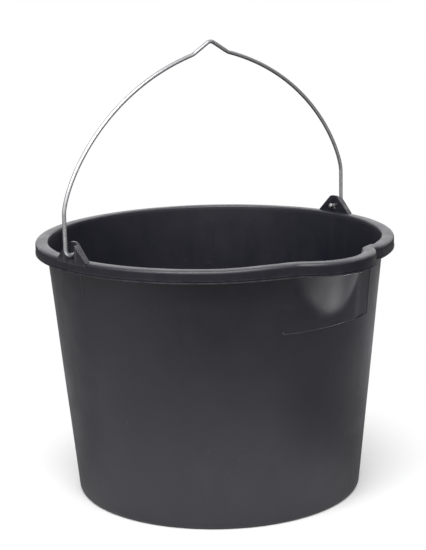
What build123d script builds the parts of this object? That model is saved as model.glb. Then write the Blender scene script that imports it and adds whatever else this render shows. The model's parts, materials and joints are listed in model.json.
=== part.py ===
from build123d import *
import math
import os

# Builder's bucket of 20 litres with a pouring lip and a swinging wire bail.
# Millimetres. +Z is up and the origin is the centre of the resting plane. X is the hinge axis
# of the bail, and the pouring lip faces -Y.

os.makedirs("parts", exist_ok=True)

# Tub: one moulding that widens upwards
HEIGHT = 266.5
BASE_R = 149.0
TAPER = 0.0955
WALL = 2.2
FLOOR_TOP = 4.2
BASE_ROUND = 4.0
FLOOR_ROUND = 7.0
BASE_RECESS = 1.5
FOOT_RING_INNER = 140.0
BASE_RIB_R = 80.0
BASE_RIB_WIDTH = 3.0
GATE_PAD_R = 18.0

# Rim: a flat top that turns down into a skirt with a thin bead at its edge
RIM_WIDTH = 12.7
RIM_TOP = 2.5
SKIRT = 12.0
SKIRT_WALL = 2.2
RIM_OUTER_ROUND = 3.2
RIM_INNER_ROUND = 2.0
BEAD_HEIGHT = 1.3
BEAD_PROUD = 0.4

# Pouring lip: a round trough that leans out of the wall
LIP_FOOT = 211.0
LIP_LEAN = 22.3
LIP_R = 59.0
LIP_PLAN_R = 57.0
LIP_BLEND = 30.0

# Ears: triangular lugs that stand on the rim, slotted from outside for the bend of the wire
EAR_INNER = 178.0
EAR_HALF_FOOT = 22.5
EAR_HALF_TOP = 4.5
EAR_RISE = 18.0
EAR_ROUND = 5.0
EAR_SINK = 3.2
SLOT_FLOOR = 181.0
SLOT_HALF_TOP = 7.5
SLOT_HALF_FOOT = 5.5
SLOT_FOOT = 2.0
HOLE_R = 2.9

# Bail: one length of round wire. Its ends slope up a little where they pass through the ears.
WIRE_R = 2.0
PIVOT_RISE = 6.2
LEG_X = 190.0
STUB_END = 172.5
STUB_SLOPE = 13.0
BEND_R = 6.0
LEG_TOP = 38.0
SHOULDER_PULL = 22.0
KNEE_X = 23.5
KNEE_RISE = 179.6
KNEE_SLOPE = 14.0
ARC_PULL = 129.0
KNEE_ROUND = 14.0
APEX_RISE = 192.7
APEX_ROUND = 9.0

RIM_INNER_R = BASE_R + TAPER * HEIGHT - WALL
RIM_OUTER_R = RIM_INNER_R + RIM_WIDTH
PIVOT_Z = HEIGHT + PIVOT_RISE


def wall_r(z):
    """Outside radius of the wall at height z."""
    return BASE_R + TAPER * z


def lip_reach(z):
    """How far the outside of the trough stands from the axis of the tub at height z."""
    return wall_r(LIP_FOOT) + (z - LIP_FOOT) * math.tan(math.radians(LIP_LEAN))


def tub(inset, bottom, top, corner):
    """Solid tub with its trough, set in from the outside surface."""
    lean = math.radians(LIP_LEAN)
    axis_point = (0, -wall_r(LIP_FOOT) + LIP_R * math.cos(lean), LIP_FOOT + LIP_R * math.sin(lean))
    trough_plane = Plane(origin=axis_point, x_dir=(1, 0, 0), z_dir=(0, -math.sin(lean), math.cos(lean)))
    with BuildPart() as shape:
        with BuildSketch(Plane.XZ):
            with BuildLine():
                Polyline(
                    (0, bottom),
                    (wall_r(bottom) - inset, bottom),
                    (wall_r(top) - inset, top),
                    (0, top),
                    close=True,
                )
            make_face()
        revolve(axis=Axis.Z)
        fillet(shape.edges().filter_by(GeomType.CIRCLE).sort_by(Axis.Z)[0], corner)
        with BuildSketch(trough_plane):
            Circle(LIP_R - inset)
        extrude(amount=2 * LIP_R, both=True)
        split(bisect_by=Plane.XY.offset(top), keep=Keep.BOTTOM)
        fillet(shape.edges().filter_by(GeomType.BSPLINE), LIP_BLEND + inset)
    return shape.part


def rim_outline(grow, z):
    """Plan of the rim at height z, grown outwards from the rim's inner edge: a wide arc around the
    tub, a lip arc in front and a hollow arc that joins them on each side."""
    rim_r = RIM_INNER_R + grow
    lip_r = LIP_PLAN_R + grow
    blend_r = LIP_BLEND + WALL - grow
    lip_y = lip_reach(HEIGHT) - WALL / math.cos(math.radians(LIP_LEAN)) - LIP_PLAN_R
    blend_to_rim = rim_r + blend_r
    blend_to_lip = lip_r + blend_r
    rim_turn = math.acos((blend_to_rim**2 + lip_y**2 - blend_to_lip**2) / (2 * blend_to_rim * lip_y))
    blend_x = blend_to_rim * math.sin(rim_turn)
    blend_y = blend_to_rim * math.cos(rim_turn)
    lip_turn = math.atan2(blend_x, blend_y - lip_y)
    middle_turn = (rim_turn + lip_turn) / 2
    rim_end = Vector(rim_r * math.sin(rim_turn), -rim_r * math.cos(rim_turn))
    lip_end = Vector(lip_r * math.sin(lip_turn), -lip_y - lip_r * math.cos(lip_turn))
    blend_middle = Vector(
        blend_x - blend_r * math.sin(middle_turn),
        -blend_y + blend_r * math.cos(middle_turn),
    )
    with BuildSketch(Plane.XY.offset(z)) as plan:
        with BuildLine():
            ThreePointArc((-rim_end.X, rim_end.Y), (0, rim_r), rim_end)
            right_blend = ThreePointArc(rim_end, blend_middle, lip_end)
            ThreePointArc(lip_end, (0, -lip_y - lip_r), (-lip_end.X, lip_end.Y))
            mirror(right_blend, about=Plane.YZ)
        make_face()
    return plan.sketch


def rim_blank():
    """Rim with its skirt and bead, still closed over the mouth of the tub."""
    skirt_foot = HEIGHT - SKIRT
    with BuildPart() as blank:
        add(rim_outline(RIM_WIDTH, skirt_foot))
        extrude(amount=SKIRT)
        add(rim_outline(RIM_WIDTH + BEAD_PROUD, skirt_foot))
        extrude(amount=BEAD_HEIGHT)
        add(rim_outline(RIM_WIDTH - SKIRT_WALL, skirt_foot))
        extrude(amount=SKIRT - RIM_TOP, mode=Mode.SUBTRACT)
        fillet(blank.edges().group_by(Axis.Z)[-1], RIM_OUTER_ROUND)
    return blank.part


def ear():
    """The lug on the +X side: a thin plate with the hinge hole, and a cheek on each side of the slot."""
    foot = HEIGHT - EAR_SINK
    with BuildPart() as lug:
        with BuildSketch(Plane.YZ.offset(EAR_INNER)):
            with BuildLine():
                Polyline(
                    (-EAR_HALF_FOOT, foot),
                    (EAR_HALF_FOOT, foot),
                    (EAR_HALF_FOOT, HEIGHT),
                    (EAR_HALF_TOP, HEIGHT + EAR_RISE),
                    (-EAR_HALF_TOP, HEIGHT + EAR_RISE),
                    (-EAR_HALF_FOOT, HEIGHT),
                    close=True,
                )
            face = make_face()
            fillet(face.vertices().group_by(Axis.Y)[-1], EAR_ROUND)
        extrude(amount=RIM_WIDTH)
        with BuildSketch(Plane.XY):
            Circle(RIM_OUTER_R)
        extrude(amount=2 * HEIGHT, mode=Mode.INTERSECT)
        with BuildSketch(Plane.YZ.offset(SLOT_FLOOR)):
            with BuildLine():
                Polyline(
                    (-SLOT_HALF_FOOT, HEIGHT + SLOT_FOOT),
                    (SLOT_HALF_FOOT, HEIGHT + SLOT_FOOT),
                    (SLOT_HALF_TOP, HEIGHT + EAR_RISE),
                    (-SLOT_HALF_TOP, HEIGHT + EAR_RISE),
                    close=True,
                )
            make_face()
        extrude(amount=RIM_WIDTH, mode=Mode.SUBTRACT)
        with BuildSketch(Plane.YZ.offset(EAR_INNER)):
            with Locations((0, PIVOT_Z)):
                Circle(HOLE_R)
        extrude(amount=RIM_WIDTH, mode=Mode.SUBTRACT)
    return lug.part


outside = tub(0, 0, HEIGHT, BASE_ROUND)
hollow = tub(WALL, FLOOR_TOP, HEIGHT + RIM_TOP, FLOOR_ROUND)
rim = rim_blank()
right_ear = ear()

with BuildPart() as bucket_body:
    add(rim)
    add(outside)
    add(hollow, mode=Mode.SUBTRACT)
    rim_top = bucket_body.faces().filter_by(Axis.Z).sort_by(Axis.Z)[-1]
    fillet(rim_top.inner_wires()[0].edges(), RIM_INNER_ROUND)
    with BuildSketch(Plane.XY):
        Circle(FOOT_RING_INNER)
        Circle(BASE_RIB_R + BASE_RIB_WIDTH / 2, mode=Mode.SUBTRACT)
        Circle(BASE_RIB_R - BASE_RIB_WIDTH / 2)
        Circle(GATE_PAD_R, mode=Mode.SUBTRACT)
    extrude(amount=BASE_RECESS, mode=Mode.SUBTRACT)
    add(right_ear)
    add(mirror(right_ear, about=Plane.YZ, mode=Mode.PRIVATE))

bucket_body.part.label = "bucket_body"
export_step(bucket_body.part, "parts/bucket_body.step")

plate_middle = (EAR_INNER + SLOT_FLOOR) / 2
stub_grade = math.tan(math.radians(STUB_SLOPE))
stub_end = (STUB_END, PIVOT_Z + (plate_middle - STUB_END) * stub_grade)
leg_foot = (LEG_X, PIVOT_Z + (plate_middle - LEG_X) * stub_grade)
leg_top = (LEG_X, PIVOT_Z + LEG_TOP)
knee = (KNEE_X, PIVOT_Z + KNEE_RISE)
knee_pull = (
    KNEE_X + ARC_PULL * math.cos(math.radians(KNEE_SLOPE)),
    PIVOT_Z + KNEE_RISE - ARC_PULL * math.sin(math.radians(KNEE_SLOPE)),
)

with BuildPart() as wire_bail:
    with BuildLine(Plane.XZ) as path:
        FilletPolyline(stub_end, leg_foot, leg_top, radius=BEND_R)
        Bezier(leg_top, (LEG_X, PIVOT_Z + LEG_TOP + SHOULDER_PULL), knee_pull, knee)
        Line(knee, (0, PIVOT_Z + APEX_RISE))
        mirror(path.line, about=Plane.YZ)
        fillet(path.vertices().group_by(Axis.Z)[-2], KNEE_ROUND)
        fillet(path.vertices().group_by(Axis.Z)[-1], APEX_ROUND)
    with BuildSketch(Plane(origin=(stub_end[0], 0, stub_end[1]), z_dir=(1, 0, -stub_grade))):
        Circle(WIRE_R)
    sweep(path=path.line)

wire_bail.part.label = "wire_bail"
export_step(wire_bail.part, "parts/wire_bail.step")
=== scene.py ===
import json
import math

import bmesh
import bpy
import numpy as np
from mathutils import Matrix, Vector


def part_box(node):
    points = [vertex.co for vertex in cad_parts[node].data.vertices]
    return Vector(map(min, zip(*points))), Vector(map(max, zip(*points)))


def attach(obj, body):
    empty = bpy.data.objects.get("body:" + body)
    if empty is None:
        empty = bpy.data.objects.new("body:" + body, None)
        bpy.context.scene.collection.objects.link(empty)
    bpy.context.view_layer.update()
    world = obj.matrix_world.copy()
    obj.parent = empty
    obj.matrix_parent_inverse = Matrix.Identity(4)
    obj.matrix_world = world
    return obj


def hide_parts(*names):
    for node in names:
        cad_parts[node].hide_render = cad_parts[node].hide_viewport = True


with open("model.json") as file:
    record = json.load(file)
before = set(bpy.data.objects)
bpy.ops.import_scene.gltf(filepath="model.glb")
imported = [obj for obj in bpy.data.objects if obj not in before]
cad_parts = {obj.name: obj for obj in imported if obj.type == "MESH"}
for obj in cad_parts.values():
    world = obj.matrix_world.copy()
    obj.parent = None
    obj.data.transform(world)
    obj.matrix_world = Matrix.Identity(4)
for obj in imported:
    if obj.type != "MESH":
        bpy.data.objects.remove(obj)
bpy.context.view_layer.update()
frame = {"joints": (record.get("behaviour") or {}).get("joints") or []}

# Builder's bucket. Metres, in the frame of the CAD model: +Z up, the origin in the middle of the
# resting plane, X along the hinge of the bail and the pouring lip towards -Y.
# A turn is an angle round the tub, in radians: 0 is -Y, and it grows towards +X.

MM = 0.001

# ---------------------------------------------------------------- sizes

# Taken from the frame
HINGE = next(joint for joint in frame["joints"] if joint["name"] == "bail_hinge")
PIVOT_Z = HINGE["pos_m"][2]
TUB_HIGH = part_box("bucket_body")[1]
BAIL_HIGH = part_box("wire_bail")[1]

EAR_RISE = 18 * MM
HEIGHT = TUB_HIGH.z - EAR_RISE
RIM_WIDTH = 12.7 * MM
BEAD_PROUD = 0.4 * MM
RIM_OUTER_R = TUB_HIGH.x - BEAD_PROUD
RIM_INNER_R = RIM_OUTER_R - RIM_WIDTH

# Tub
WALL = 2.2 * MM
TAPER = 0.0955
BASE_R = RIM_INNER_R + WALL - TAPER * HEIGHT
FLOOR_TOP = 4.2 * MM
BASE_ROUND = 4 * MM
FLOOR_ROUND = 7 * MM

# Underside
GATE_PAD_R = 18 * MM
RIB_INNER_R = 78.5 * MM
RIB_OUTER_R = 81.5 * MM
FOOT_RING_INNER_R = 140 * MM
BASE_RECESS = 1.5 * MM
RECESS_EDGE = 0.5 * MM

# Rim
RIM_TOP = 2.5 * MM
SKIRT = 12 * MM
SKIRT_WALL = 2.2 * MM
RIM_OUTER_ROUND = 3.2 * MM
RIM_INNER_ROUND = 2.0 * MM
BEAD_GROOVE = 0.5 * MM
RIM_CROWN = 0.3 * MM

# Pouring lip
LIP_FOOT = 211 * MM
LIP_LEAN = math.radians(22.3)
LIP_R = 59 * MM
LIP_BLEND_LEFT = 10 * MM
LIP_BLEND_RIGHT = 4 * MM
LIP_BLEND_FOOT = 2.5 * MM
LIP_BLEND_CHANGE = (-0.1, 0.15)

# Mould slide that forms the lip. It was drawn out along -Y, so its right-hand side is a plane.
SLIDE_LEFT = math.radians(-19.3)
SLIDE_X = 62.5 * MM
SLIDE_FOOT = 197.0 * MM
SLIDE_FLAT_START = math.radians(10.5)
SEAM_WIDTH = 0.7 * MM
SEAM_DEPTH = 0.55 * MM

# The groove along the slide's foot starts at its left end, where there is a pin mark, and is faint
# as far as the middle of the lip
SEAM_START_TURN = 0.01
SEAM_FAINT = 0.30
SEAM_FAINT_STOP = math.radians(-3)
SEAM_FULL_START = math.radians(10)
PIN_DEPTH = 0.6 * MM
PIN_FLAT_R = 0.5 * MM
PIN_R = 2.0 * MM

# The rim stands a little higher over the mould slide, and part of that runs on past its right side
RISE = 1.7 * MM
RISE_START = math.radians(-42)
RISE_FULL = math.radians(-20)
RISE_STEP = (-0.5 * MM, 1.0 * MM)
RISE_TAIL = 0.35
TAIL_START = math.radians(20)
TAIL_STOP = math.radians(45)

# Ridge where the mould opened
RIDGE_PROUD = 0.45 * MM
RIDGE_CREST = 0.3 * MM
RIDGE_SIDE = 1.4 * MM
RIDGE_START = 226 * MM
RIDGE_FULL = 242 * MM

# Spacing of the tub's rings and points
LEAST_TURN = 0.0010
SLIDE_SIDE_FOOT_R = 166 * MM
LINE_STEPS = np.arange(-6, 7)
LINE_GAP_ROUND = 0.3 * MM
LINE_GAP_UP = 0.22 * MM
LEAST_GAP_UP = 0.2 * MM
WALL_GAP = 9 * MM
LIP_GAP = 2.5 * MM

# Ears
EAR_INNER = 178 * MM
EAR_HALF_FOOT = 22.5 * MM
EAR_HALF_TOP = 4.5 * MM
EAR_SINK = 3.6 * MM
EAR_ROUND = 5 * MM
EAR_PROUD = 0.04 * MM
EAR_EDGE = 0.45 * MM
SLOT_FLOOR = 181 * MM
SLOT_HALF_TOP = 7.5 * MM
SLOT_HALF_FOOT = 5.5 * MM
SLOT_FOOT = 2 * MM
HOLE_R = 2.9 * MM

# Bail
WIRE_R = BAIL_HIGH.y
LEG_X = BAIL_HIGH.x - WIRE_R
STUB_INNER = 172.5 * MM
STUB_GRADE = math.tan(math.radians(13))
BEND_R = 6 * MM
LEG_TOP = 38 * MM
SHOULDER_PULL = 22 * MM
KNEE = (23.5 * MM, 179.6 * MM)
KNEE_ANGLE = math.radians(14)
ARC_PULL = 129 * MM
KNEE_ROUND = 14 * MM
APEX_RISE = 192.7 * MM
APEX_ROUND = 9 * MM
WIRE_SIDES = 24

# Cut ends of the wire: swollen, with a rounded edge of so many mm deep at a share of the radius
UPSET = 1.12
UPSET_START = 0.6 * MM
UPSET_STOP = 3.5 * MM
END_ROUND = ((0.0, 0.35), (0.05, 0.8), (0.25, 0.97), (0.6, 1.0))
END_DEPTH = 0.9 * MM

# Where the wire was bent at a knee, it is squeezed a little over a short length
SQUEEZE = 0.06
SQUEEZE_LENGTH = 3 * MM
KNEE_NEAR = 1.2 * MM

# Stretch of the pattern of drawing lines, round the wire and along it
DRAWN_ROUND = 7
DRAWN_ALONG = 25


def smooth_step(edge0, edge1, value):
    """0 below edge0, 1 above edge1, with an even slope between."""
    t = np.clip((value - edge0) / (edge1 - edge0), 0, 1)
    return t * t * (3 - 2 * t)


def smooth_max(a, b, blend):
    """The larger of a and b, rounded off where they are within blend of each other."""
    overlap = np.maximum(blend - np.abs(a - b), 0) / blend
    return np.maximum(a, b) + overlap**3 * blend / 6


# ---------------------------------------------------------------- shape of the tub

def wall_r(z):
    """Outside radius of the plain wall."""
    return BASE_R + TAPER * z


def trough_r(turn, z, inset):
    """Distance from the tub's axis to the far side of the leaning trough, in direction turn."""
    lean = math.cos(LIP_LEAN)
    half_wide = LIP_R - inset
    half_deep = half_wide / lean
    reach = wall_r(LIP_FOOT) + (z - LIP_FOOT) * math.tan(LIP_LEAN) - inset / lean
    centre = reach - half_deep
    a = np.sin(turn) ** 2 / half_wide**2 + np.cos(turn) ** 2 / half_deep**2
    b = centre * np.cos(turn) / half_deep**2
    c = centre**2 / half_deep**2 - 1
    inside = np.maximum(b * b - a * c, 0)
    hit = (b * b > a * c) & (np.cos(turn) > 0)
    return np.where(hit, (b + np.sqrt(inside)) / a, 0)


def slide_flat(turn, z):
    """How deep the flat stretch between the trough and the slide's right-hand edge lies."""
    stop = math.asin(SLIDE_X / wall_r(SLIDE_FOOT))
    middle = (SLIDE_FLAT_START + stop) / 2
    half = (stop - SLIDE_FLAT_START) / 2
    chord = 1 - math.cos(half) / np.cos(turn - middle)
    within = (turn > SLIDE_FLAT_START) & (turn < stop) & (z > SLIDE_FOOT)
    return np.where(within, wall_r(z) * chord * smooth_step(SLIDE_FLAT_START, middle, turn), 0)


def past_slide(turn, r):
    """How far a point is to the right of the slide's flat side."""
    return r * np.sin(turn) - SLIDE_X


def seam(turn, z):
    """Depth of the fine grooves round the mould slide, and of the pin mark at its left-hand corner."""
    r = wall_r(z)
    above_foot = z - SLIDE_FOOT
    from_side = past_slide(turn, r)
    side = 1 - smooth_step(0, SEAM_WIDTH, np.abs(from_side))
    side = side * smooth_step(-SEAM_WIDTH, 0, above_foot)

    foot = 1 - smooth_step(0, SEAM_WIDTH, np.abs(above_foot))
    foot = foot * smooth_step(SLIDE_LEFT, SLIDE_LEFT + SEAM_START_TURN, turn)
    foot = foot * (1 - smooth_step(0, SEAM_WIDTH, from_side))
    clear = smooth_step(SEAM_FAINT_STOP, SEAM_FULL_START, turn)
    foot = foot * (SEAM_FAINT + (1 - SEAM_FAINT) * clear)

    from_pin = np.hypot((turn - SLIDE_LEFT) * r, above_foot)
    pin = 1 - smooth_step(PIN_FLAT_R, PIN_R, from_pin)
    in_front = np.abs(turn) < math.pi / 2
    return np.where(in_front, SEAM_DEPTH * np.maximum(side, foot) + PIN_DEPTH * pin, 0)


def parting_ridge(turn, z):
    """The mould opened along X, which left a faint ridge under each ear."""
    across = np.abs(np.abs(turn) - math.pi / 2) * wall_r(z)
    crest = 1 - smooth_step(RIDGE_CREST, RIDGE_SIDE, across)
    return RIDGE_PROUD * crest * smooth_step(RIDGE_START, RIDGE_FULL, z)


def wander(turn, z):
    """The slight unevenness of a thin moulding that shrank as it cooled."""
    slow = np.sin(2 * turn + 0.7) * 0.35 + np.sin(3 * turn - 1.9) * 0.2
    fine = np.sin(7 * turn + 34 * z) * 0.05 + np.sin(11 * turn - 51 * z + 1) * 0.035
    return MM * (slow * smooth_step(0, HEIGHT, z) * 0.5 + fine)


def lip_rise(turn, r):
    """How much higher the rim stands over the mould slide."""
    left = smooth_step(RISE_START, RISE_FULL, turn)
    right = 1 - smooth_step(*RISE_STEP, past_slide(turn, r))
    tail = RISE_TAIL * (1 - smooth_step(TAIL_START, TAIL_STOP, turn))
    return np.where(np.cos(turn) > 0, RISE * left * np.maximum(right, tail), 0)


def tub_r(turn, z, inset):
    """Distance from the axis to the tub's surface, outside with inset 0 and inside with inset WALL."""
    rightness = smooth_step(*LIP_BLEND_CHANGE, turn)
    side_blend = LIP_BLEND_LEFT + (LIP_BLEND_RIGHT - LIP_BLEND_LEFT) * rightness
    upness = smooth_step(LIP_FOOT - 8 * MM, HEIGHT, z)
    blend = LIP_BLEND_FOOT + (side_blend - LIP_BLEND_FOOT) * upness
    plain = wall_r(z) - inset - slide_flat(turn, z)
    return smooth_max(plain, trough_r(turn, z, inset), blend) + wander(turn, z)


# ---------------------------------------------------------------- mesh of the tub

def directions():
    """Turns round the tub, closer together at the lip and at each mould line."""
    around = np.radians(np.arange(-180, 180, 1.0))
    lip = np.radians(np.arange(-33.5, 34, 1.0))
    step = LINE_GAP_ROUND / wall_r(SLIDE_FOOT)
    lines = [line + LINE_STEPS * step for line in (SLIDE_LEFT, -math.pi / 2, math.pi / 2)]
    side_at_rim = math.asin(0.98 * SLIDE_X / RIM_OUTER_R)
    side_at_foot = math.asin(SLIDE_X / SLIDE_SIDE_FOOT_R)
    side = np.linspace(side_at_rim, side_at_foot, 40)
    turns = np.unique(np.round(np.concatenate([around, lip, side, *lines]), 6))
    return turns[np.diff(turns, prepend=-math.inf) >= LEAST_TURN]


def wall_heights(start, stop):
    """Heights of the wall's rings, close together at the foot of the mould slide and at the lip."""
    plain = np.arange(start, SLIDE_FOOT - 6 * MM, WALL_GAP)
    below = SLIDE_FOOT - np.array([4.5, 3]) * MM
    seam_rows = SLIDE_FOOT + LINE_STEPS * LINE_GAP_UP
    above = SLIDE_FOOT + np.array([3, 5]) * MM
    lip = np.arange(SLIDE_FOOT + 7 * MM, stop, LIP_GAP)
    heights = np.concatenate([plain, below, seam_rows, above, lip, [stop]])
    heights = heights[(heights >= start) & (heights <= stop)]
    return heights[np.diff(heights, prepend=-math.inf) > LEAST_GAP_UP]


def level_ring(turns, r, z):
    """A ring of points. Both r and z may differ from turn to turn."""
    z = np.broadcast_to(z, turns.shape)
    return np.stack([np.sin(turns) * r, -np.cos(turns) * r, z], 1)


def wall_ring(turns, z, inset, cut=0):
    """A ring on the wall, which rises with the rim over the mould slide."""
    lifted = z + lip_rise(turns, wall_r(z)) * smooth_step(LIP_FOOT, HEIGHT, z)
    return level_ring(turns, tub_r(turns, z, inset) - cut, lifted)


def underside_rings(turns):
    """Centre pad, recess, rib, recess, foot ring and the rounded foot of the wall."""
    rings = []

    def flat(z, *radii):
        for r in radii:
            rings.append(level_ring(turns, r * MM, z))

    def edge(r, offsets, heights):
        for offset, z in zip(offsets, heights):
            rings.append(level_ring(turns, r + offset * MM, z))

    into_recess = (0, RECESS_EDGE, BASE_RECESS)
    out_of_recess = (BASE_RECESS, RECESS_EDGE, 0)
    flat(0, 2, 9)
    edge(GATE_PAD_R, (-1, 0, 0.4), into_recess)
    flat(BASE_RECESS, 30, 45, 60, 72)
    edge(RIB_INNER_R, (-0.5, -0.1, 0.4), out_of_recess)
    edge(RIB_OUTER_R, (-0.4, 0.1, 0.5), into_recess)
    flat(BASE_RECESS, 95, 110, 125, 135)
    edge(FOOT_RING_INNER_R, (-0.6, -0.2, 0.3), out_of_recess)

    centre_r = BASE_R - BASE_ROUND + 0.3 * MM
    for angle in np.radians(np.linspace(-90, -4, 8)):
        r = centre_r + BASE_ROUND * math.cos(angle)
        rings.append(level_ring(turns, r, BASE_ROUND + BASE_ROUND * math.sin(angle)))
    return rings


def rim_rings(turns):
    """Rim, from under its top down the inside of its skirt, round the bead and back over the top.
    Each ring is an offset outwards from the rim's inner edge and a drop from its top."""
    inner_r = tub_r(turns, HEIGHT, WALL)
    edge = level_ring(turns, inner_r, 0)[:, :2]
    along = np.roll(edge, -1, 0) - np.roll(edge, 1, 0)
    normal = np.stack([along[:, 1], -along[:, 0]], 1)
    normal /= np.linalg.norm(normal, axis=1)[:, None]
    ridge = parting_ridge(turns, HEIGHT)
    rings = []

    def add(grow, drop, lift=1.0, ridged=0):
        point = edge + normal * (grow + ridged * ridge)[:, None]
        z = HEIGHT - drop + lip_rise(turns, inner_r + grow) * lift
        rings.append(np.column_stack([point, z]))

    # Underside of the top, and the inside of the skirt
    skirt_inner = RIM_WIDTH - SKIRT_WALL
    for grow in (WALL + 1 * MM, 5 * MM, 7.5 * MM, skirt_inner - 0.8 * MM):
        add(grow, RIM_TOP)
    add(skirt_inner - 0.2 * MM, RIM_TOP + 0.2 * MM)
    add(skirt_inner, RIM_TOP + 0.8 * MM)
    for drop in (5, 8, 10.5):
        add(skirt_inner, drop * MM, 1 - drop / 20)

    # Bead and groove at the skirt's foot, then the outside of the skirt
    foot_lift = 0.4
    bead = RIM_WIDTH + BEAD_PROUD
    groove = RIM_WIDTH - BEAD_GROOVE
    for grow, above_foot in (
        (skirt_inner, 0.3),
        (skirt_inner + 0.3 * MM, 0),
        (bead - 0.12 * MM, 0),
        (bead, 0.12),
        (bead, 1.05),
        (bead - 0.1 * MM, 1.25),
        (groove, 1.4),
        (groove, 2.0),
        (RIM_WIDTH, 2.15),
    ):
        add(grow, SKIRT - above_foot * MM, foot_lift, 1)
    for drop in (8.5, 7, 5.5, 4.2):
        add(RIM_WIDTH, drop * MM, foot_lift + (1 - foot_lift) * (1 - drop / 12), 1)

    # Rounded outer edge, crowned top and rounded inner edge
    for angle in np.radians(np.linspace(0, 90, 9)):
        grow = RIM_WIDTH - RIM_OUTER_ROUND * (1 - math.cos(angle))
        add(grow, RIM_OUTER_ROUND * (1 - math.sin(angle)))
    flat_width = RIM_WIDTH - RIM_OUTER_ROUND - RIM_INNER_ROUND
    for t in np.arange(7, 0, -1) / 8:
        add(RIM_INNER_ROUND + flat_width * t, -RIM_CROWN * 4 * t * (1 - t))
    for angle in np.radians(np.linspace(0, 90, 7)):
        add(RIM_INNER_ROUND * (1 - math.sin(angle)), RIM_INNER_ROUND * (1 - math.cos(angle)))
    return rings


def floor_rings(turns):
    """Rounded corner between the wall and the floor, then the floor."""
    rings = []
    centre_r = wall_r(FLOOR_TOP) - WALL + 0.6 * MM - FLOOR_ROUND
    for angle in np.radians(np.linspace(6, 90, 9)):
        z = FLOOR_TOP + FLOOR_ROUND * (1 - math.sin(angle))
        rings.append(level_ring(turns, centre_r + FLOOR_ROUND * math.cos(angle), z))
    for r in (125, 105, 85, 65, 45, 25, 10, 2):
        rings.append(level_ring(turns, r * MM, FLOOR_TOP))
    return rings


def tub_rings(turns):
    """The closed outline, from the middle of the underside round to the middle of the floor."""
    rings = underside_rings(turns)
    for z in wall_heights(BASE_ROUND + 2 * MM, HEIGHT - RIM_TOP - 1 * MM):
        rings.append(wall_ring(turns, z, 0, seam(turns, z) - parting_ridge(turns, z)))
    rings += rim_rings(turns)
    for z in wall_heights(FLOOR_TOP + FLOOR_ROUND + 1 * MM, HEIGHT - RIM_INNER_ROUND - 1 * MM)[::-1]:
        rings.append(wall_ring(turns, z, WALL))
    return rings + floor_rings(turns)


def mesh_object(name, points, faces):
    mesh = bpy.data.meshes.new(name)
    mesh.from_pydata([tuple(p) for p in points], [], faces)
    mesh.validate()
    obj = bpy.data.objects.new(name, mesh)
    bpy.context.scene.collection.objects.link(obj)
    return obj


def recalculate_normals(obj):
    bm = bmesh.new()
    bm.from_mesh(obj.data)
    bmesh.ops.recalc_face_normals(bm, faces=bm.faces)
    bm.to_mesh(obj.data)
    bm.free()


def rings_to_faces(ring_count, count):
    """Quads between each ring of points and the next, with count points in a ring."""
    faces = []
    for low in range(0, (ring_count - 1) * count, count):
        for i in range(count):
            j = (i + 1) % count
            faces.append((low + i, low + j, low + count + j, low + count + i))
    return faces


def end_fans(ring_count, count):
    """Triangles that close both ends, each round a point that follows the rings' own points."""
    first_centre = ring_count * count
    last_centre = first_centre + 1
    last = (ring_count - 1) * count
    faces = []
    for i in range(count):
        j = (i + 1) % count
        faces.append((first_centre, j, i))
        faces.append((last_centre, last + i, last + j))
    return faces


def build_tub():
    turns = directions()
    rings = tub_rings(turns)
    points = np.concatenate([*rings, [[0, 0, 0], [0, 0, FLOOR_TOP]]])
    faces = rings_to_faces(len(rings), len(turns)) + end_fans(len(rings), len(turns))
    tub = mesh_object("tub_moulding", points, faces)
    recalculate_normals(tub)
    return tub


# ---------------------------------------------------------------- ears

def rounded_corner(before, corner, after, radius, steps):
    """Points of the arc that rounds a corner of an outline."""
    before, corner, after = Vector(before), Vector(corner), Vector(after)
    a = (before - corner).normalized()
    b = (after - corner).normalized()
    half = a.angle(b) / 2
    centre = corner + (a + b).normalized() * (radius / math.sin(half))
    start = corner + a * (radius / math.tan(half)) - centre
    stop = corner + b * (radius / math.tan(half)) - centre
    return [centre + start.slerp(stop, i / steps).normalized() * radius for i in range(steps + 1)]


def circle(radius, centre_y, sides):
    """Outline of a round block."""
    turns = np.arange(sides) * 2 * math.pi / sides
    return [(radius * math.cos(turn), centre_y + radius * math.sin(turn)) for turn in turns]


def prism(name, near, far):
    """A closed block between two flat outlines with the same number of points."""
    count = len(near)
    faces = [tuple(range(count)), tuple(reversed(range(count, 2 * count)))]
    for i in range(count):
        j = (i + 1) % count
        faces.append((j, i, count + i, count + j))
    block = mesh_object(name, near + far, faces)
    recalculate_normals(block)
    return block


def block_along_x(name, outline, start, stop):
    """A block with an outline of y and z, between two values of x."""
    return prism(name, [(start, y, z) for y, z in outline], [(stop, y, z) for y, z in outline])


def block_along_z(name, outline, start, stop):
    """A block with an outline of x and y, between two values of z."""
    return prism(name, [(x, y, start) for x, y in outline], [(x, y, stop) for x, y in outline])


def apply_modifiers(obj):
    depsgraph = bpy.context.evaluated_depsgraph_get()
    mesh = bpy.data.meshes.new_from_object(obj.evaluated_get(depsgraph))
    obj.modifiers.clear()
    obj.data = mesh


def combine(target, tool, operation):
    """Boolean target with tool, then delete tool."""
    modifier = target.modifiers.new(operation, "BOOLEAN")
    modifier.operation = operation
    modifier.solver = "EXACT"
    modifier.object = tool
    apply_modifiers(target)
    bpy.data.objects.remove(tool)


def soften_edges(obj, width, least_angle):
    """Round every edge that is sharper than the least angle."""
    modifier = obj.modifiers.new("edge rounds", "BEVEL")
    modifier.width = width
    modifier.segments = 3
    modifier.limit_method = "ANGLE"
    modifier.angle_limit = least_angle
    apply_modifiers(obj)


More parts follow.
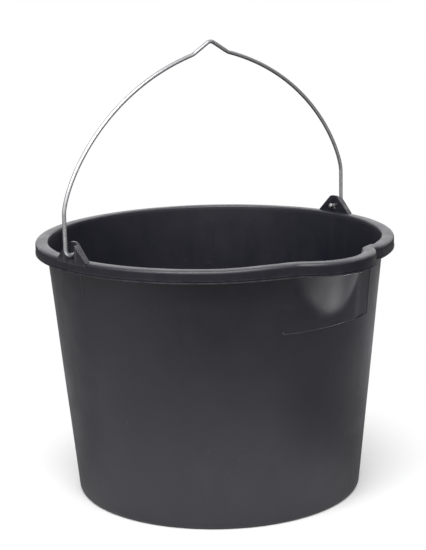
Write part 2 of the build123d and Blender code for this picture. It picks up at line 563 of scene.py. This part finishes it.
def ear_outline(foot, top):
    """A triangle on a short foot, with a rounded top and points along its sloping sides."""
    right_foot = (EAR_HALF_FOOT, HEIGHT)
    right_top = (EAR_HALF_TOP, top)
    left_top = (-EAR_HALF_TOP, top)
    left_foot = (-EAR_HALF_FOOT, HEIGHT)
    side_parts = 7
    slope = []
    for i in range(side_parts):
        y = EAR_HALF_FOOT + (EAR_HALF_TOP - EAR_HALF_FOOT) * i / side_parts
        slope.append((y, HEIGHT + EAR_RISE * i / side_parts))
    outline = [(EAR_HALF_FOOT, foot)] + slope
    outline += [tuple(p) for p in rounded_corner(right_foot, right_top, left_top, EAR_ROUND, 6)]
    outline += [tuple(p) for p in rounded_corner(right_top, left_top, left_foot, EAR_ROUND, 6)]
    outline += [(-y, z) for y, z in reversed(slope)]
    outline.append((-EAR_HALF_FOOT, foot))
    return outline


def build_ear(side):
    """One lug: a rounded triangle with a slot in its outer face and the hinge hole through it."""
    top = HEIGHT + EAR_RISE
    foot = HEIGHT - EAR_SINK
    past = 5 * MM
    outside = RIM_OUTER_R + past
    ear = block_along_x("ear", ear_outline(foot, top), EAR_INNER, outside)
    rim_circle = circle(RIM_OUTER_R + EAR_PROUD, 0, 360)
    combine(ear, block_along_z("rim_round", rim_circle, foot - past, top + past), "INTERSECT")

    slot_top = top + 4 * MM
    slot_outline = [
        (-SLOT_HALF_FOOT, HEIGHT + SLOT_FOOT),
        (SLOT_HALF_FOOT, HEIGHT + SLOT_FOOT),
        (SLOT_HALF_TOP, slot_top),
        (-SLOT_HALF_TOP, slot_top),
    ]
    combine(ear, block_along_x("slot", slot_outline, SLOT_FLOOR, outside), "DIFFERENCE")
    hole_circle = circle(HOLE_R, PIVOT_Z, 28)
    combine(ear, block_along_x("hole", hole_circle, EAR_INNER - past, outside), "DIFFERENCE")

    soften_edges(ear, EAR_EDGE, math.radians(35))
    if side < 0:
        ear.data.transform(Matrix.Rotation(math.pi, 4, "Z"))
    recalculate_normals(ear)
    return ear


def build_body():
    body = build_tub()
    for side in (1, -1):
        combine(body, build_ear(side), "UNION")
    body.name = "bucket_moulding"
    return body


# ---------------------------------------------------------------- bail

def bezier(points, steps):
    """Points along a cubic curve, without its first one."""
    result = []
    for i in range(1, steps + 1):
        t = i / steps
        weights = ((1 - t) ** 3, 3 * t * (1 - t) ** 2, 3 * t * t * (1 - t), t**3)
        result.append(sum((Vector(p) * w for p, w in zip(points, weights)), Vector((0, 0))))
    return result


def line_points(start, stop, steps):
    """Points along a straight line, without its first one."""
    start, stop = Vector(start), Vector(stop)
    return [start.lerp(stop, i / steps) for i in range(1, steps + 1)]


def bail_path():
    """Centre line of the wire in the XZ plane, from the left stub over the apex to the right stub."""
    knee = Vector((KNEE[0], PIVOT_Z + KNEE[1]))
    apex = Vector((0, PIVOT_Z + APEX_RISE))
    leg_top = Vector((LEG_X, PIVOT_Z + LEG_TOP))
    plate_middle = (EAR_INNER + SLOT_FLOOR) / 2
    stub_end = Vector((STUB_INNER, PIVOT_Z + (plate_middle - STUB_INNER) * STUB_GRADE))
    leg_foot = Vector((LEG_X, PIVOT_Z + (plate_middle - LEG_X) * STUB_GRADE))
    slope = Vector((math.cos(KNEE_ANGLE), -math.sin(KNEE_ANGLE)))

    bend = rounded_corner(stub_end, leg_foot, leg_top, BEND_R, 11)
    half = [stub_end] + line_points(stub_end, bend[0], 8)
    half += bend[1:]
    half += line_points(bend[-1], leg_top, 20)

    # The arc stops short of the knee, which is rounded from a little way back along it
    arc = bezier([leg_top, leg_top + Vector((0, SHOULDER_PULL)), knee + slope * ARC_PULL, knee], 110)
    half += arc[:-2]
    half += rounded_corner(arc[-8], knee, apex, KNEE_ROUND, 6)
    crown = rounded_corner(knee, apex, (-knee.x, knee.y), APEX_ROUND, 12)
    half += line_points(half[-1], crown[0], 9)[:-1]
    left = [Vector((-p.x, p.y)) for p in half]
    return left + list(reversed(crown)) + list(reversed(half))


def wire_rings(path):
    """Rings of the wire from end to end: centre, direction, radius, squeeze and length along it."""
    lengths = [0.0]
    for a, b in zip(path, path[1:]):
        lengths.append(lengths[-1] + (b - a).length)
    total = lengths[-1]

    def is_knee(p):
        return abs(abs(p.x) - KNEE[0]) < KNEE_NEAR and p.y > PIVOT_Z + LEG_TOP

    def direction(i):
        before = path[max(i - 1, 0)]
        after = path[min(i + 1, len(path) - 1)]
        return (after - before).normalized()

    knees = [length for p, length in zip(path, lengths) if is_knee(p)]
    first = direction(0)
    last = direction(len(path) - 1)
    rings = []
    for depth, share in END_ROUND:
        rings.append((path[0] + first * depth * MM, first, WIRE_R * UPSET * share, 0, 0))
    for i, length in enumerate(lengths):
        from_end = min(length, total - length)
        if from_end < END_DEPTH:
            continue
        swell = 1 + (UPSET - 1) * (1 - float(smooth_step(UPSET_START, UPSET_STOP, from_end)))
        pinch = max((1 - min(abs(length - knee) / SQUEEZE_LENGTH, 1) for knee in knees), default=0)
        rings.append((path[i], direction(i), WIRE_R * swell, SQUEEZE * pinch, length))
    for depth, share in reversed(END_ROUND):
        rings.append((path[-1] - last * depth * MM, last, WIRE_R * UPSET * share, 0, total))
    return rings


def build_bail():
    """Tube along the centre line. The "drawn" attribute follows the wire, for its drawing lines."""
    path = bail_path()
    rings = wire_rings(path)
    points, drawn = [], []
    for centre, direction, radius, squeeze, length in rings:
        normal = Vector((-direction.y, direction.x))
        for turn in 2 * math.pi * np.arange(WIRE_SIDES) / WIRE_SIDES:
            side = normal * (math.cos(turn) * radius * (1 - squeeze))
            points.append((centre.x + side.x, math.sin(turn) * radius * (1 + squeeze), centre.y + side.y))
            drawn.append((DRAWN_ROUND * math.cos(turn), DRAWN_ROUND * math.sin(turn), DRAWN_ALONG * length))
    for end in (path[0], path[-1]):
        points.append((end.x, 0, end.y))
        drawn.append((0, 0, 0))
    faces = rings_to_faces(len(rings), WIRE_SIDES) + end_fans(len(rings), WIRE_SIDES)
    bail = mesh_object("bail_wire", points, faces)
    attribute = bail.data.attributes.new("drawn", "FLOAT_VECTOR", "POINT")
    attribute.data.foreach_set("vector", np.array(drawn, np.float32).ravel())
    recalculate_normals(bail)
    return bail


def shade_smooth(obj, angle):
    """Smooth shading that keeps every edge sharper than angle."""
    mesh = obj.data
    mesh.shade_smooth()
    bm = bmesh.new()
    bm.from_mesh(mesh)
    for edge in bm.edges:
        edge.smooth = len(edge.link_faces) == 2 and edge.calc_face_angle(0) < angle
    bm.to_mesh(mesh)
    bm.free()


# ---------------------------------------------------------------- where the camera stands

CAMERA_AZIMUTH = math.radians(-41.5)
CAMERA_DISTANCE = 1513 * MM
CAMERA_HEIGHT = 554.6 * MM
CAMERA_PITCH = math.radians(12.37)
CAMERA_YAW = math.radians(-0.09)
CAMERA_ROLL = math.radians(-1.23)
CAMERA_LENS = 97.1


def level(azimuth):
    """Level direction of an azimuth in radians, where 0 is -Y."""
    return Vector((math.sin(azimuth), -math.cos(azimuth), 0))


def camera_side(turn):
    """Level direction, turned from the camera's own side: 90 is the camera's right, 180 behind the
    object."""
    return level(CAMERA_AZIMUTH + math.radians(turn))


# ---------------------------------------------------------------- materials

class Graph:
    """A short way to write nodes. Where a value is wanted, a number or another node's output will do."""

    def __init__(self, tree):
        self.tree = tree

    def add(self, kind, **settings):
        node = self.tree.nodes.new(kind)
        for key, value in settings.items():
            setattr(node, key, value)
        return node

    def join(self, source, target):
        if isinstance(source, bpy.types.NodeSocket):
            self.tree.links.new(source, target)
        else:
            target.default_value = source

    def position(self, stretch=(1, 1, 1)):
        coordinates = self.add("ShaderNodeTexCoord")
        mapping = self.add("ShaderNodeMapping")
        mapping.inputs["Scale"].default_value = stretch
        self.join(coordinates.outputs["Object"], mapping.inputs["Vector"])
        return mapping.outputs["Vector"]

    def noise(self, vector, scale, detail=3.0, roughness=0.5, distortion=0.0):
        """Noise with a scale in cells per metre."""
        node = self.add("ShaderNodeTexNoise")
        self.join(vector, node.inputs["Vector"])
        node.inputs["Scale"].default_value = scale
        node.inputs["Detail"].default_value = detail
        node.inputs["Roughness"].default_value = roughness
        node.inputs["Distortion"].default_value = distortion
        return node.outputs["Fac"]

    def spread(self, value, low, high, to_low=0.0, to_high=1.0):
        """A smooth step from to_low at low to to_high at high."""
        node = self.add("ShaderNodeMapRange", interpolation_type="SMOOTHSTEP")
        self.join(value, node.inputs["Value"])
        node.inputs["From Min"].default_value = low
        node.inputs["From Max"].default_value = high
        node.inputs["To Min"].default_value = to_low
        node.inputs["To Max"].default_value = to_high
        return node.outputs["Result"]

    def math(self, operation, result, *others):
        """An operation over all the values, from left to right."""
        for other in others:
            node = self.add("ShaderNodeMath", operation=operation)
            self.join(result, node.inputs[0])
            self.join(other, node.inputs[1])
            result = node.outputs["Value"]
        return result

    def mix(self, share, a, b):
        node = self.add("ShaderNodeMix", data_type="RGBA")
        self.join(share, node.inputs["Factor"])
        self.join(a, node.inputs[6])
        self.join(b, node.inputs[7])
        return node.outputs[2]

    def cover(self, under, share, pattern, colour):
        """A colour laid over another where a pattern is, with a share at the most."""
        return self.mix(self.math("MULTIPLY", pattern, share), under, colour)

    def along(self, vector, direction):
        """How far a vector reaches in a direction."""
        node = self.add("ShaderNodeVectorMath", operation="DOT_PRODUCT")
        self.join(vector, node.inputs[0])
        node.inputs[1].default_value = direction
        return node.outputs["Value"]

    def length(self, vector):
        node = self.add("ShaderNodeVectorMath", operation="LENGTH")
        self.join(vector, node.inputs[0])
        return node.outputs["Value"]

    def seen(self):
        """1 for what the camera sees directly, 0 for light and reflections."""
        return self.add("ShaderNodeLightPath").outputs["Is Camera Ray"]

    def bump(self, height, distance, strength=1.0, below=None):
        node = self.add("ShaderNodeBump")
        node.inputs["Distance"].default_value = distance
        node.inputs["Strength"].default_value = strength
        self.join(height, node.inputs["Height"])
        if below is not None:
            self.join(below, node.inputs["Normal"])
        return node.outputs["Normal"]


class MaterialGraph(Graph):
    """The nodes of a new material that has one principled shader."""

    def __init__(self, name):
        self.material = bpy.data.materials.new(name)
        self.material.use_nodes = True
        super().__init__(self.material.node_tree)
        self.tree.nodes.clear()
        self.output = self.add("ShaderNodeOutputMaterial")
        self.shader = self.add("ShaderNodeBsdfPrincipled")
        self.join(self.shader.outputs["BSDF"], self.output.inputs["Surface"])

    def finish(self, **inputs):
        """Join values to the shader's inputs, with _ for each space in an input's name."""
        for name, value in inputs.items():
            self.join(value, self.shader.inputs[name.replace("_", " ")])


def grey(value):
    return (value, value, value, 1)


def black_plastic():
    """Moulded recycled plastic: near-black with faint clouding, a fine satin grain and light scuffs."""
    g = MaterialGraph("black_moulded_plastic")
    place = g.position()
    upright = g.position((1, 1, 0.12))
    level_bands = g.position((0.1, 0.1, 1))

    clouds = g.spread(g.noise(place, 22, 4, 0.55, 0.6), 0.35, 0.68)
    streaks = g.spread(g.noise(upright, 95, 3, 0.6), 0.42, 0.72)
    specks = g.spread(g.noise(place, 900, 2, 0.5), 0.60, 0.74)
    scratches_a = g.spread(g.noise(g.position((1, 1, 14)), 55, 2, 0.4, 1.2), 0.66, 0.74)
    scratches_b = g.spread(g.noise(g.position((9, 1, 2)), 42, 2, 0.4, 1.0), 0.68, 0.75)
    scuff_zone = g.spread(g.noise(place, 9, 2), 0.48, 0.66)
    scuffs = g.math("MULTIPLY", g.math("MAXIMUM", scratches_a, scratches_b), scuff_zone)

    # Convex edges, found by pointiness, are made lighter and a little glossier, broken up by noise.
    geometry = g.add("ShaderNodeNewGeometry")
    edges = g.spread(geometry.outputs["Pointiness"], 0.505, 0.56)
    lighter_convex_edges = g.math("MULTIPLY", edges, g.spread(g.noise(place, 160, 3), 0.35, 0.65))

    colour = g.mix(clouds, (0.0100, 0.0098, 0.0170, 1), (0.0126, 0.0123, 0.0198, 1))
    colour = g.cover(colour, 0.25, streaks, (0.016, 0.016, 0.021, 1))
    colour = g.cover(colour, 0.30, specks, (0.050, 0.050, 0.052, 1))
    colour = g.cover(colour, 0.35, scuffs, (0.075, 0.076, 0.080, 1))
    colour = g.cover(colour, 0.45, lighter_convex_edges, (0.085, 0.086, 0.090, 1))

    satin = g.spread(g.noise(place, 34, 4, 0.6, 0.4), 0.3, 0.7, 0.34, 0.42)
    rough = g.math(
        "ADD",
        satin,
        g.math("MULTIPLY", scuffs, 0.12),
        g.math("MULTIPLY", streaks, 0.03),
        g.math("MULTIPLY", lighter_convex_edges, -0.06),
    )

    waves = g.bump(g.noise(level_bands, 60, 2, 0.5), 0.25 * MM, 0.5)
    peel = g.bump(g.noise(place, 260, 3, 0.5), 0.06 * MM, 0.8, waves)
    grain = g.bump(g.noise(place, 1700, 2, 0.6), 0.018 * MM, 0.9, peel)
    normal = g.bump(scuffs, -0.03 * MM, 0.6, grain)
    g.finish(Base_Color=colour, Roughness=rough, Normal=normal, IOR=1.5)
    return g.material


def galvanised_wire():
    """Drawn wire with a thin zinc coat: soft sheen, lengthwise drawing lines and dull patches. The
    sides that turn away from the viewer are painted darker, as painted shade, and are less glossy."""
    g = MaterialGraph("galvanised_drawn_wire")
    place = g.position()
    patches = g.spread(g.noise(place, 70, 4, 0.6, 0.8), 0.36, 0.66)
    spangle = g.add("ShaderNodeTexVoronoi")
    g.join(place, spangle.inputs["Vector"])
    spangle.inputs["Scale"].default_value = 420
    flakes = g.spread(spangle.outputs["Distance"], 0.0, 0.7)
    dull = g.spread(g.noise(place, 190, 3, 0.6), 0.56, 0.70)
    facing = g.add("ShaderNodeLayerWeight").outputs["Facing"]

    tint = g.mix(patches, (0.76, 0.765, 0.78, 1), (0.84, 0.845, 0.86, 1))
    tint = g.cover(tint, 0.25, flakes, (0.90, 0.91, 0.92, 1))
    tint = g.cover(tint, 0.18, dull, (0.50, 0.50, 0.51, 1))
    # Painted shade: towards the sides that turn away from the viewer the colour is painted dark, and metal
    # and gloss are taken away.
    tint = g.mix(g.spread(facing, 0.10, 0.34, 0.0, 0.95), tint, (0.17, 0.17, 0.18, 1))
    metallic = g.spread(facing, 0.12, 0.40, 0.82, 0.0)
    gloss = g.spread(facing, 0.12, 0.40, 0.5, 0.0)

    sheen = g.spread(g.noise(place, 120, 3), 0.3, 0.7, 0.26, 0.34)
    rough = g.math("ADD", sheen, g.math("MULTIPLY", dull, 0.14))

    drawn = g.add("ShaderNodeAttribute", attribute_name="drawn").outputs["Vector"]
    lines = g.bump(g.noise(drawn, 1.0, 3, 0.6), 0.014 * MM, 0.5)
    grain = g.bump(g.noise(place, 1500, 2, 0.6), 0.006 * MM, 0.4, lines)
    normal = g.bump(flakes, 0.006 * MM, 0.4, grain)
    g.finish(Base_Color=tint, Metallic=metallic, Specular_IOR_Level=gloss, Roughness=rough, Normal=normal)
    return g.material


def painted_floor_shade(g, where, away):
    """How much painted shade the floor gets for reflections, in place of a darker room and the object's
    shadow: none just in front of the object, more beside it, behind it and farther away. Past the object on
    the right a wedge stays bright."""
    across = g.along(where, camera_side(90))
    forward = g.along(where, camera_side(0))
    rightward = g.math("DIVIDE", across, away)

    near_wedge = g.spread(forward, -0.25, -0.45, 0.0, 0.36)
    far_wedge = g.spread(forward, -0.55, -0.75, 0.0, 0.95)
    on_right = g.spread(rightward, -0.3, 0.3)
    wedge = g.math("MULTIPLY", g.math("MAXIMUM", near_wedge, far_wedge), on_right)

    far = g.math("MULTIPLY", g.spread(away, 0.22, 0.62), g.spread(rightward, -1.0, -0.2, 0.45, 0.85))
    behind = g.spread(forward, 0.16, 0.0, 0.0, 0.66)
    beside_left = g.spread(across, -0.08, -0.32, 0.0, 0.38)
    beside_right = g.spread(across, 0.13, 0.30, 0.0, 0.68)
    around = g.math("MAXIMUM", far, behind, beside_left, beside_right)
    around = g.math("MULTIPLY", around, g.math("SUBTRACT", 1.0, wedge))
    remote = g.spread(away, 0.8, 1.2, 0.0, 0.93)
    return g.math("MAXIMUM", around, remote)


def pale_floor():
    """White paper. The camera sees it fade to pure white away from the object. Reflections see painted
    shade on it, as if it stood in a darker room."""
    g = MaterialGraph("pale_floor")
    shade = g.spread(g.noise(g.position(), 3, 2), 0.3, 0.7)
    paper = g.mix(shade, grey(0.86), grey(0.88))
    where = g.add("ShaderNodeNewGeometry").outputs["Position"]
    away = g.length(where)
    seen = g.seen()
    # Painted shade: the paper is darkened towards black for every ray but the camera's.
    painted_shade = g.math("MULTIPLY", painted_floor_shade(g, where, away), g.math("SUBTRACT", 1.0, seen))
    g.finish(Base_Color=g.mix(painted_shade, paper, grey(0)), Roughness=0.8, Specular_IOR_Level=0.2)

    glow = g.add("ShaderNodeEmission")
    blend = g.add("ShaderNodeMixShader")
    g.join(g.math("MULTIPLY", g.spread(away, 0.13, 0.38), seen), blend.inputs["Fac"])
    g.join(g.shader.outputs["BSDF"], blend.inputs[1])
    g.join(glow.outputs["Emission"], blend.inputs[2])
    g.join(blend.outputs["Shader"], g.output.inputs["Surface"])
    return g.material


# ---------------------------------------------------------------- stage, lights and camera

FLOOR_HALF = 40
TUB_MIDDLE = Vector((0, 0, HEIGHT / 2))

# Azimuth and elevation in degrees as seen from the tub, distance and side in metres, power in watts
STUDIO_LIGHTS = {
    "overhead": (-50, 68, 1.7, 1.3, 33),
    "key": (-85, 45, 2.2, 1.0, 8),
    "side": (70, 48, 2.2, 1.1, 7),
}

# Facing of the lip in degrees, power in watts, side in metres and beam in degrees
LIP_LIGHTS = (
    (-15, 0.009, 0.115, 45),
    (3, 0.011, 0.115, 45),
    (21, 0.020, 0.115, 45),
    (32, 0.026, 0.05, 30),
)
LIP_GLOSS_Z = 238 * MM
LIP_LIGHT_Z = 12 * MM
LIP_LIGHT_REACH = 150 * MM
LIP_GLOSS_FORWARD = 18 * MM


def build_floor():
    corners = [(x * FLOOR_HALF, y * FLOOR_HALF, 0) for x, y in ((-1, -1), (1, -1), (1, 1), (-1, 1))]
    floor = mesh_object("floor", corners, [(0, 1, 2, 3)])
    floor.data.materials.append(pale_floor())


def area_light(name, place, target, side, power, beam=180):
    """A soft square light at a place, looking at a target, with a beam of so many degrees."""
    data = bpy.data.lights.new(name, "AREA")
    data.size = side
    data.energy = power
    data.spread = math.radians(beam)
    light = bpy.data.objects.new(name, data)
    bpy.context.scene.collection.objects.link(light)
    light.visible_camera = False
    light.location = place
    light.rotation_euler = (place - target).to_track_quat("Z", "Y").to_euler()


def studio_light(name, azimuth, elevation, distance, side, power):
    """A large light that looks at the middle of the tub."""
    elevation = math.radians(elevation)
    outward = level(math.radians(azimuth)) * math.cos(elevation)
    outward.z = math.sin(elevation)
    area_light(name, TUB_MIDDLE + outward * distance, TUB_MIDDLE, side, power)


def light_under_lip(facing, power, side, beam):
    """A small narrow light near the floor, where the part of the lip that faces this way mirrors it
    to the camera."""
    azimuth = math.radians(facing)
    lip_middle = Vector((0, LIP_R - wall_r(LIP_FOOT) - LIP_GLOSS_FORWARD, LIP_GLOSS_Z))
    gloss = lip_middle + level(azimuth) * LIP_R
    place = gloss + level(2 * azimuth - CAMERA_AZIMUTH) * LIP_LIGHT_REACH
    place.z = LIP_LIGHT_Z
    area_light(f"under_lip_{facing}", place, gloss, side, power, beam)


def build_world():
    """A white studio: bright behind the object, dimmer round the camera. The camera sees only white."""
    world = bpy.data.worlds.new("studio")
    world.use_nodes = True
    bpy.context.scene.world = world
    g = Graph(world.node_tree)
    toward = g.add("ShaderNodeTexCoord").outputs["Generated"]
    backdrop = g.spread(g.along(toward, camera_side(180)), 0.55, 0.97, 0.0, 1.40)
    ceiling = g.spread(g.along(toward, (0, 0, 1)), 0.25, 0.95, 0.0, 0.55)
    front = g.spread(g.along(toward, camera_side(10)), 0.15, 0.90, 0.0, 0.50)
    left = g.spread(g.along(toward, camera_side(-90)), 0.1, 0.95, 0.0, 0.18)
    everywhere = 0.15
    strength = g.math("ADD", backdrop, ceiling, left, front, everywhere)
    background = world.node_tree.nodes["Background"]
    background.inputs["Color"].default_value = grey(1)
    g.join(g.math("MAXIMUM", strength, g.seen()), background.inputs["Strength"])


def build_camera():
    data = bpy.data.cameras.new("camera")
    data.lens = CAMERA_LENS
    data.sensor_width = 36
    data.clip_end = 200
    camera = bpy.data.objects.new("camera", data)
    bpy.context.scene.collection.objects.link(camera)
    camera.location = level(CAMERA_AZIMUTH) * CAMERA_DISTANCE
    camera.location.z = CAMERA_HEIGHT
    turn = Matrix.Rotation(CAMERA_AZIMUTH - CAMERA_YAW, 4, "Z")
    tilt = Matrix.Rotation(math.pi / 2 - CAMERA_PITCH, 4, "X")
    roll = Matrix.Rotation(CAMERA_ROLL, 4, "Z")
    camera.rotation_euler = (turn @ tilt @ roll).to_euler()
    bpy.context.scene.camera = camera


# ---------------------------------------------------------------- the object

body = build_body()
shade_smooth(body, math.radians(32))
body.data.materials.append(black_plastic())
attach(body, "tub")
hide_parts("bucket_body")

bail = build_bail()
shade_smooth(bail, math.radians(50))
bail.data.materials.append(galvanised_wire())
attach(bail, "bail")
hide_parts("wire_bail")

build_floor()
build_world()
for name, settings in STUDIO_LIGHTS.items():
    studio_light(name, *settings)
for settings in LIP_LIGHTS:
    light_under_lip(*settings)
build_camera()
bpy.context.scene.view_settings.view_transform = "Standard"
